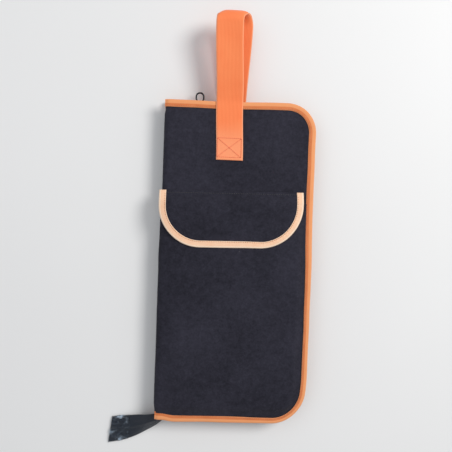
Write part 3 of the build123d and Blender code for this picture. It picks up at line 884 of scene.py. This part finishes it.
flap_path = Route((FLAP_LEFT, FLAP_ROOT), -math.pi / 2, [
    (FLAP_ROOT - FLAP_END - FLAP_RADIUS, 0.0),
    (FLAP_RADIUS * math.pi / 2, math.pi / 2),
    (FLAP_RIGHT - FLAP_LEFT - 2 * FLAP_RADIUS, 0.0),
    (FLAP_RADIUS * math.pi / 2, math.pi / 2),
    (FLAP_ROOT - FLAP_END - FLAP_RADIUS, 0.0)])
flap_fold = binding_profile(FLAP_BINDING, 0.0022, 0.0010)
shape = sweep(flap_path, -1, flap_fold, 340, 18, lambda x, y: flap_height(x, y) - 0.0011, flap_skewed,
              waver=0.00035, width=FLAP_BINDING_CLOTH)
flap_tape = finish_mesh("flap_edge_tape", shape, [flap_tape_orange], thick=0.0006, offset=0.0)
bend_flap(flap_tape)
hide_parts("flap_binding")
spots = stitch_spots(flap_path, -1, 0.0082, lambda x, y: flap_height(x, y) + 0.0014)
for place, _, _ in spots:
    place.x, place.y = flap_skewed(place.x, place.y)
flap_seam = finish_mesh("flap_edge_stitches", stitch_shape(spots, wide=0.0010), [thread_amber])
bend_flap(flap_seam)
root_start = Vector((FLAP_LEFT + 0.011, FLAP_ROOT - 0.0034, 0.0))
root_end = Vector((FLAP_RIGHT - 0.011, FLAP_ROOT - 0.0034, 0.0))
spots = straight_spots(root_start, root_end, UP)
for place, _, _ in spots:
    place.z = flap_height(place.x, place.y) + 0.0006
    place.x, place.y = flap_skewed(place.x, place.y)
root_seam = finish_mesh("flap_root_stitches", stitch_shape(spots), [thread_black])
bend_flap(root_seam)


def make_patch(name, node, body, material, height, flip):
    """Stiff rectangle of hook or loop tape that follows the cloth it is sewn to."""
    low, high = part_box(node)
    corner = 0.002

    def place(u, v):
        x = low[0] + u * (high[0] - low[0])
        y = low[1] + v * (high[1] - low[1])
        x, y = round_corner(x, y, (low[0] + corner, low[1] + corner), corner, (-1, -1))
        x, y = round_corner(x, y, (high[0] - corner, high[1] - corner), corner, (1, 1))
        return Vector((x, y, height(x, y)))

    shape = cloth_grid(0.05, 0.02, 40, 16, place, flip)
    patch = finish_mesh(name, shape, [material], thick=0.0007, offset=1.0)
    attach(patch, body)
    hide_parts(node)


make_patch("flap_hook_tape", "flap_hook_patch", "flap", hook_black,
           lambda x, y: flap_height(x, y) - 0.0005, True)
make_patch("pocket_loop_tape", "pocket_loop_patch", "front", loop_black,
           lambda x, y: THICK + 0.0004 + pocket_rise(RIGHT - x, y), False)


# ---------------------------------------------------------------- carrying strap

# Each half lies along a cover, rises from its edge and bends over to meet the other at the tip
LEAN = math.radians(12)
LEAN_RUN = 0.010
LOOP_SHIFT = 0.0078
loop_radius = (THICK - 0.0003) / 2 * math.cos(LEAN)
strap_edge = TOP + 0.002
strap_tip = strap_high[1] - STRAP_THICK / 2
rising = (strap_tip - loop_radius * (1 + math.sin(LEAN)) - strap_edge) / math.cos(LEAN)
tab_run = strap_edge - strap_low[1] - 0.005
loop_run = loop_radius * math.pi / 2
rise_steps = [(tab_run, 0.0), (LEAN_RUN, LEAN), (rising - LEAN_RUN / 2, 0.0)]
front_strap_path = Route((strap_low[1], THICK + 0.0007), 0.0, rise_steps + [(loop_run, -math.pi / 2)])
back_strap_path = Route((strap_low[1], 0.0009), 0.0, rise_steps + [(loop_run, math.pi / 2)])
rise_end = front_strap_path.length - loop_run
tip_centre = -0.0215
front_centres = [(0.0, -0.0140), (tab_run, -0.0165), (rise_end, tip_centre)]
back_centres = [(0.0, -0.0150), (tab_run, -0.0100), (rise_end, tip_centre + 2 * LOOP_SHIFT)]


def through(stops, place):
    """Value between (place, value) stops with soft changes."""
    for (start, first), (end, last) in zip(stops, stops[1:]):
        if place <= end:
            return first + (last - first) * smooth((place - start) / (end - start))
    return stops[-1][1]


def strap_place(path, centres, shift, seed):
    """Strap half along its path, whose middle follows centres and then moves sideways by shift."""
    straight = path.length - loop_run

    def place(u, v):
        distance = u * path.length
        (y, z), heading = path.at(distance)
        loose = smooth((y - TOP) / 0.03)
        bend = max(0.0, distance - straight) / loop_radius
        across = v - 0.5
        rounding = smooth(bend / 1.2)
        cup = (0.0008 - 0.0012 * rounding) * loose * (across * 2) ** 2
        cup -= 0.0034 * rounding * (across * 2) ** 6
        cup += 0.0008 * loose * (1 - rounding) * ripple(y, across * 0.04, 0.05, seed)
        x = through(centres, distance) + shift * (1 - math.cos(bend)) + across * STRAP_WIDTH
        return Vector((x, y - cup * math.sin(heading), z + cup * math.cos(heading)))

    return place


def make_strap_half(name, path, centres, shift, body, seed):
    """Half of the strap: sewn to its cover and reaching round to the tip of the loop."""
    front = body == "front"
    place = strap_place(path, centres, shift, seed)
    shape = cloth_grid(path.length, STRAP_WIDTH, 150, 14, place, flip=not front)
    half = finish_mesh(name, shape, [webbing_orange], thick=STRAP_THICK, offset=0.0)
    root, tip = (0.0, strap_edge, 0.0), (0.0, strap_tip - 0.012, 0.0)
    if front:
        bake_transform(half)
        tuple(tip)
        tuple(root)
    else:
        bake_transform(half)
        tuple(root)
        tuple(tip)
    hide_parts("handle_webbing")


make_strap_half("strap_front_half", front_strap_path, front_centres, LOOP_SHIFT, "front", 1.0)
make_strap_half("strap_back_half", back_strap_path, back_centres, -LOOP_SHIFT, "back", 7.0)


def make_box_stitching(name, node, body, height, up):
    """Box with a cross in it, sewn through the strap's end."""
    low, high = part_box(node)
    wider = 0.0022
    left, right = low[0] - wider, high[0] + wider
    corners = [Vector((x, y, height)) for x, y in
               ((left, low[1]), (right, low[1]), (right, high[1]), (left, high[1]))]
    pairs = ((0, 1), (1, 2), (2, 3), (3, 0), (0, 2), (1, 3))
    spots = [spot for a, b in pairs for spot in straight_spots(corners[a], corners[b], up, BOX_PITCH)]
    seam = finish_mesh(name, stitch_shape(spots), [thread_red])
    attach(seam, body)
    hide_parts(node)


make_box_stitching("front_box_stitches", "front_handle_stitching", "front", THICK + 0.0016, UP)
make_box_stitching("back_box_stitches", "back_handle_stitching", "back", 0.0004, DOWN)


# ---------------------------------------------------------------- zip tail

def smooth_line(points, share):
    """Point on a smooth line through all the points."""
    span = share * (len(points) - 1)
    index = min(int(span), len(points) - 2)
    t = span - index
    before = points[max(index - 1, 0)]
    start, end = points[index], points[index + 1]
    after = points[min(index + 2, len(points) - 1)]
    slope_start = (end - before) / 2
    slope_end = (after - start) / 2
    return (start * (2 * t ** 3 - 3 * t ** 2 + 1) + slope_start * (t ** 3 - 2 * t ** 2 + t)
            + end * (3 * t ** 2 - 2 * t ** 3) + slope_end * (t ** 3 - t ** 2))


# Both long edges of the zip's loose end, from the bag to where it lies on the floor
tail_upper = [Vector(point) for point in (
    (-0.0930, -0.2185, 0.0230), (-0.1040, -0.2205, 0.0225), (-0.1170, -0.2240, 0.0180),
    (-0.1330, -0.2275, 0.0090), (-0.1510, -0.2312, 0.0026), (-0.1700, -0.2337, 0.0014))]
tail_lower = [Vector(point) for point in (
    (-0.0930, -0.2310, 0.0085), (-0.1050, -0.2425, 0.0058), (-0.1200, -0.2525, 0.0026),
    (-0.1360, -0.2615, 0.0014), (-0.1530, -0.2675, 0.0012), (-0.1745, -0.2715, 0.0012))]


def tail_place(u, v):
    """Loose end of the zip: standing at its root, and lying nearly flat with a ridge along it."""
    upper = smooth_line(tail_upper, u)
    lower = smooth_line(tail_lower, u)
    spot = lower.lerp(upper, v)
    lying = smooth((u - 0.35) / 0.4)
    spot.z += 0.0006 * math.exp(-((v - 0.5) / 0.06) ** 2)
    spot.z += (0.0009 + 0.0009 * ripple(u, v, 0.22, 2.0)) * lying * (1 - abs(2 * v - 1) ** 3)
    spot.z += 0.0022 * (1 - lying) * math.sin(math.pi * v)
    return spot


shape = cloth_grid(0.092, 0.033, 90, 30, tail_place, flip=True)
tail = finish_mesh("zip_tail", shape, [zip_cloth], thick=0.0008, offset=0.0)
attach(tail, "back")
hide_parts("zipper_tail")


def wrap_place(u, v):
    """Loose sleeve round the tail's end: over it for the first half of v, and back underneath."""
    along = 0.715 + u * 0.30
    over = v < 0.5
    across = (v * 2 if over else 2 - v * 2) * 1.06 - 0.03
    on_tail = min(along, 1.0)
    on_cloth = min(max(across, 0.0), 1.0)
    spot = tail_place(on_tail, on_cloth)
    last_bit = 0.02
    step = smooth_line(tail_upper, 1.0) - smooth_line(tail_upper, 1.0 - last_bit)
    spot += step * max(0.0, along - 1.0) / last_bit
    spot += (smooth_line(tail_upper, on_tail) - smooth_line(tail_lower, on_tail)) * (across - on_cloth)
    crumple = 0.5 + 0.5 * ripple(along, across * 0.35, 0.11, 3.0)
    crumple += 0.12 * ripple(along, across * 0.35, 0.05, 5.0)
    edge_turn = math.sqrt(max(0.0, 1 - abs(2 * across - 1) ** 6))
    spot.z += (0.0006 + 0.0013 * crumple) * edge_turn if over else -0.0007 * edge_turn
    spot.z = max(spot.z, 0.0002)
    return spot


shape = closed_tube(0.027, 0.070, 60, 120, wrap_place)
wrap = finish_mesh("tail_end_wrap", shape, [film_clear], thick=0.00012, offset=1.0)
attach(wrap, "back")
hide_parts("zipper_end_film")


# ---------------------------------------------------------------- inside pockets

def make_inside_pocket(name, low, high, channels, base, rise, facing, body, node_names, mouth_node):
    """Sheet sewn down between channels; facing is +1 where it stands on its base, -1 where it hangs."""
    pitch = (high[0] - low[0]) / channels

    def lift(x, y):
        inside = (x - low[0]) / pitch
        across = inside - math.floor(min(inside, channels - 1e-6))
        seam = min(across, 1 - across) * pitch
        round_up = smooth((seam - 0.0012) / 0.009)
        closed = smooth((y - low[1] - 0.001) / 0.016)
        slack = 1 + 0.10 * ripple(x, y, 0.05, 8.0) * closed
        return base + facing * (0.0004 + rise * round_up * closed * slack)

    def place(u, v):
        x = low[0] + u * (high[0] - low[0])
        y = low[1] + v * (high[1] - low[1])
        return Vector((x, y, lift(x, y)))

    size = (high[0] - low[0], high[1] - low[1])
    shape = cloth_grid(*size, 96, 110, place, flip=facing < 0)
    sheet = finish_mesh(name, shape, [cloth_lining], thick=0.0007)
    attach(sheet, body)
    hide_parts(*node_names)

    def tape_place(u, v):
        x = low[0] + u * (high[0] - low[0])
        y = high[1] - 0.0105 + v * 0.0110
        return Vector((x, y, lift(x, y) + facing * 0.0004))

    shape = cloth_grid(size[0], MOUTH_TAPE, 140, 4, tape_place, flip=facing < 0)
    tape = finish_mesh(name + "_tape", shape, [mouth_tape_orange], thick=0.0006, offset=1.0)
    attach(tape, body)
    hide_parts(mouth_node)
    level = base + facing * 0.0006
    drawn_in = {0: 0.0008, channels: -0.0008}
    spots = []
    for seam in range(channels + 1):
        x = low[0] + seam * pitch + drawn_in.get(seam, 0.0)
        spots += straight_spots(Vector((x, low[1] + 0.003, level)), Vector((x, high[1] - 0.002, level)),
                                UP * facing)
    seams = finish_mesh(name + "_stitches", stitch_shape(spots), [thread_black])
    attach(seams, body)


make_inside_pocket("stick_channels", sticks_low, sticks_high, 4, CORE, 0.0078 + COVER - CORE, 1,
                   "back", ["stick_pocket"], "stick_pocket_binding")
make_inside_pocket("wide_channels", wide_low, wide_high, 2, THICK - CORE, 0.0046 + COVER - CORE, -1,
                   "front", ["wide_pocket_panel", "wide_pocket_walls"], "wide_pocket_binding")


# ---------------------------------------------------------------- floor, light and camera

shape = bmesh.new()
bmesh.ops.create_grid(shape, x_segments=4, y_segments=4, size=2.5)
floor = finish_mesh("floor", shape, [floor_finish()])
floor.data.transform(Matrix.Translation((0.0, 0.0, -0.0006)))


def soft_light(name, place, size, power, colour):
    """Round soft light that points at the bag."""
    lamp = bpy.data.lights.new(name, "AREA")
    lamp.shape = "DISK"
    lamp.size = size
    lamp.energy = power
    lamp.color = colour
    holder = bpy.data.objects.new(name, lamp)
    bpy.context.scene.collection.objects.link(holder)
    holder.location = place
    holder.rotation_euler = (-Vector(place)).to_track_quat("-Z", "Y").to_euler()


soft_light("window_light", (1.3, 0.9, 1.7), size=1.0, power=33.0, colour=(1.0, 0.99, 0.97))
soft_light("room_light", (-0.9, 0.6, 2.0), size=2.2, power=8.5, colour=(0.97, 0.98, 1.0))
bpy.context.scene.view_settings.view_transform = "Standard"
world = bpy.data.worlds.new("room")
bpy.context.scene.world = world
world.use_nodes = True
sky = world.node_tree.nodes["Background"]
sky.inputs["Color"].default_value = (0.93, 0.96, 1.0, 1.0)
sky.inputs["Strength"].default_value = 0.48

lens = bpy.data.cameras.new("camera")
lens.angle = math.radians(40)
camera = bpy.data.objects.new("camera", lens)
bpy.context.scene.collection.objects.link(camera)
forward = Vector((0.0617, -0.0422, -0.9972)).normalized()
up = Vector((-0.0362, 0.9983, -0.0445))
right = forward.cross(up).normalized()
up = right.cross(forward)
turned = Matrix((right, up, -forward)).transposed().to_4x4()
camera.matrix_world = Matrix.Translation((-0.0696, 0.0918, 0.9119)) @ turned
bpy.context.scene.camera = camera
